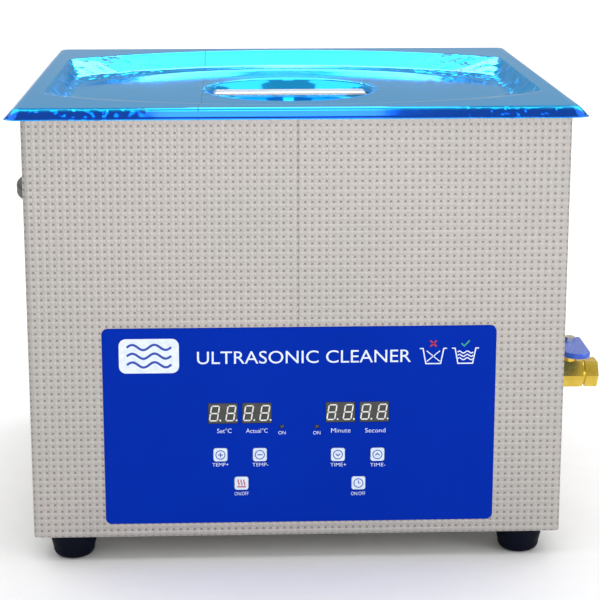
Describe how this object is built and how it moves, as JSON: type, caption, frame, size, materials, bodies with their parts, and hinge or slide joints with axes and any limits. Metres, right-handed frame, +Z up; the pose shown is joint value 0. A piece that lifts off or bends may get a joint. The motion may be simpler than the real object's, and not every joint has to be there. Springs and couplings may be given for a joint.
{
  "type": "ultrasonic cleaner",
  "caption": "Bench ultrasonic cleaner: boxy embossed steel case, open tank, lift-off dished lid, blue control panel, side drain valve and carrying handles on rubber feet.",
  "frame": {"origin": "on the floor under the middle of the case; the bounding box is centred on it to within 3 mm, because the drain valve and the side handles stick out by slightly different amounts", "axes": "+X to the right seen from the front, with the drain valve on the +X side; +Y towards the back; +Z up; the control panel faces -Y"},
  "size_m": [0.3957, 0.335, 0.296],
  "materials": {
    "steel_case": "embossed stainless sheet",
    "steel_tank": "deep-drawn satin stainless steel",
    "seal_rubber": "soft black seal",
    "foot_rubber": "blue-black moulded rubber",
    "zinc_screws": "zinc-plated steel",
    "overlay_blue": "printed blue polycarbonate fascia",
    "board_green": "solder-masked circuit board",
    "display_grey": "dark grey digit window with pale segments",
    "led_clear": "clear moulded lamp",
    "black_plastic": "black moulded plastic",
    "brass_parts": "turned yellow brass",
    "heatsink_aluminium": "bare aluminium",
    "winding_brown": "varnished winding and tape",
    "capacitor_black": "heat-shrink sleeve",
    "ceramic_grey": "fired ceramic",
    "mass_steel": "turned steel",
    "silicone_red": "silicone heater mat",
    "hose_rubber": "reinforced rubber hose",
    "ptfe_white": "white low-friction plastic",
    "chrome_ball": "polished plated ball",
    "lever_blue": "blue dipped vinyl on a steel lever",
    "pin_metal": "nickel-plated pins",
    "rocker_red": "red moulded rocker",
    "guard_chrome": "plated wire",
    "handle_black": "black moulded plastic",
    "lid_film": "polished steel under a blue protective film",
    "bar_steel": "bare stainless strip",
    "key_white": "pale blue-white key cap"
  },
  "bodies": {
    "case": {"housing_shell": "steel_case", "rear_panel": "steel_case", "base_plate": "steel_case", "tank": "steel_tank", "tank_rim_seal": "seal_rubber", "foot_front_left": "foot_rubber", "foot_front_right": "foot_rubber", "foot_rear_left": "foot_rubber", "foot_rear_right": "foot_rubber", "foot_screws": "zinc_screws", "control_overlay": "overlay_blue", "control_board": "board_green", "display_set_temp": "display_grey", "display_actual_temp": "display_grey", "display_minutes": "display_grey", "display_seconds": "display_grey", "status_leds": "led_clear", "tact_switches": "black_plastic", "board_standoffs": "brass_parts", "board_screws": "zinc_screws", "generator_board": "board_green", "generator_standoffs": "zinc_screws", "generator_heatsinks": "heatsink_aluminium", "generator_transformer": "winding_brown", "generator_capacitors": "capacitor_black", "transducer_horns": "heatsink_aluminium", "transducer_ceramics": "ceramic_grey", "transducer_back_masses": "mass_steel", "transducer_bolts": "zinc_screws", "heater_pads": "silicone_red", "thermal_cutout": "ceramic_grey", "drain_outlet": "brass_parts", "drain_hose": "hose_rubber", "valve_body": "brass_parts", "valve_end_cap": "brass_parts", "valve_seats": "ptfe_white", "valve_locknut": "brass_parts", "power_inlet": "black_plastic", "inlet_pins": "pin_metal", "switch_frame": "black_plastic", "fan_frame": "black_plastic", "fan_guard": "guard_chrome", "carry_handle_left": "handle_black", "carry_handle_right": "handle_black", "panel_screws": "zinc_screws"},
    "lid_body": {"lid": "lid_film", "lid_handle": "bar_steel"},
    "valve_turner": {"valve_ball": "chrome_ball", "valve_stem": "brass_parts", "valve_handle": "lever_blue", "valve_handle_nut": "zinc_screws"},
    "rocker": {"switch_rocker": "rocker_red"},
    "fan": {"fan_rotor": "black_plastic"},
    "key_temp_up_body": {"key_temp_up": "key_white"},
    "key_temp_down_body": {"key_temp_down": "key_white"},
    "key_heater_onoff_body": {"key_heater_onoff": "key_white"},
    "key_time_up_body": {"key_time_up": "key_white"},
    "key_time_down_body": {"key_time_down": "key_white"},
    "key_timer_onoff_body": {"key_timer_onoff": "key_white"}
  },
  "joints": [
    {"name": "lid_lift", "type": "slide", "parent": "case", "child": "lid_body", "axis": [0, 0, 1], "range_m": [0, 0.12]},
    {"name": "valve_turn", "type": "hinge", "parent": "case", "child": "valve_turner", "pos_m": [0.182, -0.11, 0.11], "axis": [0, 0, 1], "range_deg": [0, 90]},
    {"name": "rocker_tilt", "type": "hinge", "parent": "case", "child": "rocker", "pos_m": [0.118, 0.1575, 0.095], "axis": [0, 0, 1], "range_deg": [0, 20]},
    {"name": "fan_spin", "type": "hinge", "parent": "case", "child": "fan", "pos_m": [-0.085, 0.144, 0.073], "axis": [0, 1, 0], "continuous": true},
    {"name": "key_temp_up_press", "type": "slide", "parent": "case", "child": "key_temp_up_body", "axis": [0, 1, 0], "range_m": [0, 0.0005], "stiffness_N_per_m": 3000},
    {"name": "key_temp_down_press", "type": "slide", "parent": "case", "child": "key_temp_down_body", "axis": [0, 1, 0], "range_m": [0, 0.0005], "stiffness_N_per_m": 3000},
    {"name": "key_heater_onoff_press", "type": "slide", "parent": "case", "child": "key_heater_onoff_body", "axis": [0, 1, 0], "range_m": [0, 0.0005], "stiffness_N_per_m": 3000},
    {"name": "key_time_up_press", "type": "slide", "parent": "case", "child": "key_time_up_body", "axis": [0, 1, 0], "range_m": [0, 0.0005], "stiffness_N_per_m": 3000},
    {"name": "key_time_down_press", "type": "slide", "parent": "case", "child": "key_time_down_body", "axis": [0, 1, 0], "range_m": [0, 0.0005], "stiffness_N_per_m": 3000},
    {"name": "key_timer_onoff_press", "type": "slide", "parent": "case", "child": "key_timer_onoff_body", "axis": [0, 1, 0], "range_m": [0, 0.0005], "stiffness_N_per_m": 3000}
  ]
}
